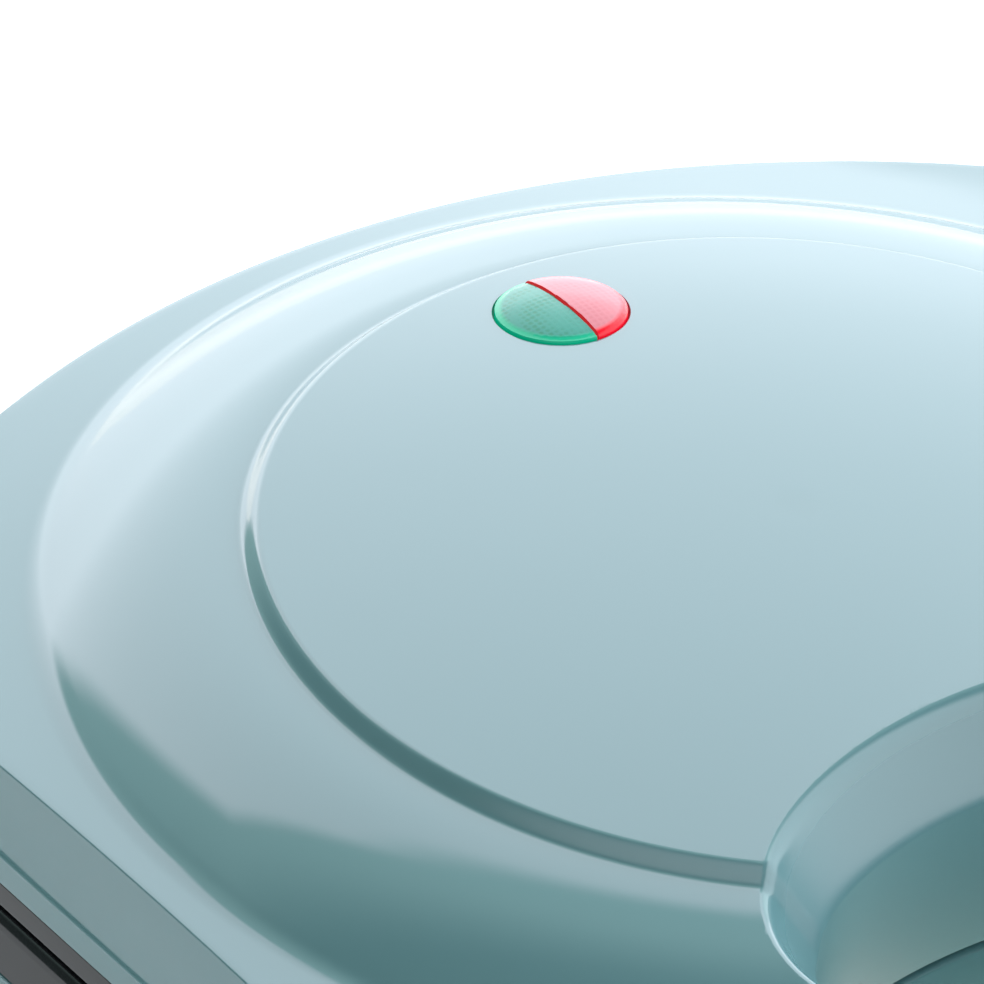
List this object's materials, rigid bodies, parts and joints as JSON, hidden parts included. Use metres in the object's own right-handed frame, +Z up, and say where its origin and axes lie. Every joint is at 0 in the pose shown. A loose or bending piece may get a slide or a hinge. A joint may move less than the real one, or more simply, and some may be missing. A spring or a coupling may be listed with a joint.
{
  "type": "sandwich maker",
  "caption": "Sandwich maker with a round-domed lid, a finger hole through its front that forms the handle, a split indicator lens and a hinged latch clip.",
  "frame": {"origin": "on the table under the middle of the overall box", "axes": "+Z up, +Y to the hinge at the back, +X to the right of a user who faces the handle"},
  "size_m": [0.234, 0.2577, 0.0898],
  "materials": {
    "pastel_gloss_plastic": "glossy pale blue-green moulding",
    "black_gloss_plastic": "glossy black moulding",
    "non_stick_coating": "cast aluminium under a dark non-stick coating",
    "steel": "plain steel",
    "aluminium_sheet": "bright rolled sheet",
    "green_lens_plastic": "clear green plastic",
    "red_lens_plastic": "clear red plastic",
    "rubber": "black moulded rubber",
    "ceramic": "cream steatite",
    "lamp_glass": "clear lamp glass",
    "red_sleeve": "red lead sleeve",
    "blue_sleeve": "blue lead sleeve"
  },
  "bodies": {
    "base": {"base_inner_frame": "black_gloss_plastic", "base_lead_live": "red_sleeve", "base_lead_neutral": "blue_sleeve", "base_shell": "pastel_gloss_plastic", "cord_inlet_bush": "rubber", "foot_back_left": "rubber", "foot_back_right": "rubber", "foot_front_left": "rubber", "foot_front_right": "rubber", "hinge_pin_left": "steel", "hinge_pin_right": "steel", "lower_cooking_plate": "non_stick_coating", "lower_heat_reflector": "aluminium_sheet", "lower_heating_element": "steel", "terminal_block": "ceramic", "thermal_fuse": "ceramic"},
    "lid": {"lid_shell": "pastel_gloss_plastic", "lid_inner_frame": "black_gloss_plastic", "upper_cooking_plate": "non_stick_coating", "upper_heating_element": "steel", "upper_heat_reflector": "aluminium_sheet", "thermostat": "ceramic", "green_lens": "green_lens_plastic", "red_lens": "red_lens_plastic", "lamp_holder": "ceramic", "ready_lamp": "lamp_glass", "power_lamp": "lamp_glass", "latch_pin": "steel"},
    "latch": {"latch_clip": "black_gloss_plastic"}
  },
  "joints": [
    {"name": "lid_hinge", "type": "hinge", "parent": "base", "child": "lid", "pos_m": [0, 0.12429, 0.05], "axis": [-1, 0, 0], "range_deg": [0, 105]},
    {"name": "latch_hinge", "type": "hinge", "parent": "lid", "child": "latch", "pos_m": [0, -0.12489, 0.0593], "axis": [-1, 0, 0], "range_deg": [-7.5, 70]}
  ]
}
